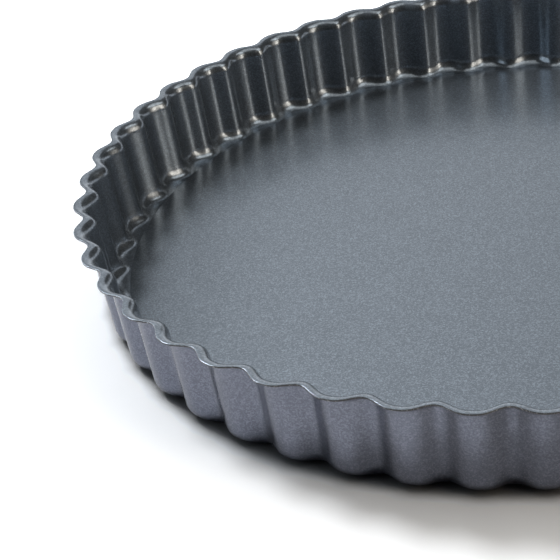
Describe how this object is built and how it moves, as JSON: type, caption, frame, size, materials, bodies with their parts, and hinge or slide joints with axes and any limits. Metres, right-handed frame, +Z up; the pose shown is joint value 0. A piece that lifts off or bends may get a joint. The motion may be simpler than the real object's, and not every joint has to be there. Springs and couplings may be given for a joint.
{
  "type": "fluted tart tin",
  "caption": "Shallow round tart tin with a leaning fluted wall, a thin turned-out lip and a flat loose base that rests on a ledge and lifts out.",
  "frame": {"origin": "on the table under the middle of the tin, at the centre of the underside of the ledge", "axes": "+Z up along the tin's axis; one flute valley lies on +X, and the tin is the same in every fourth part of a turn"},
  "size_m": [0.2794, 0.2794, 0.031],
  "materials": {
    "ring_coating": "satin dark grey non-stick coating on steel sheet, with a fine orange-peel speckle",
    "base_coating": "satin blue-grey non-stick coating on steel sheet, with a fine sparkle"
  },
  "bodies": {
    "ring": {"fluted_ring": "ring_coating"},
    "base": {"loose_base": "base_coating"}
  },
  "joints": [
    {"name": "base_lift", "type": "slide", "parent": "ring", "child": "base", "axis": [0, 0, 1], "range_m": [0, 0.06]}
  ]
}
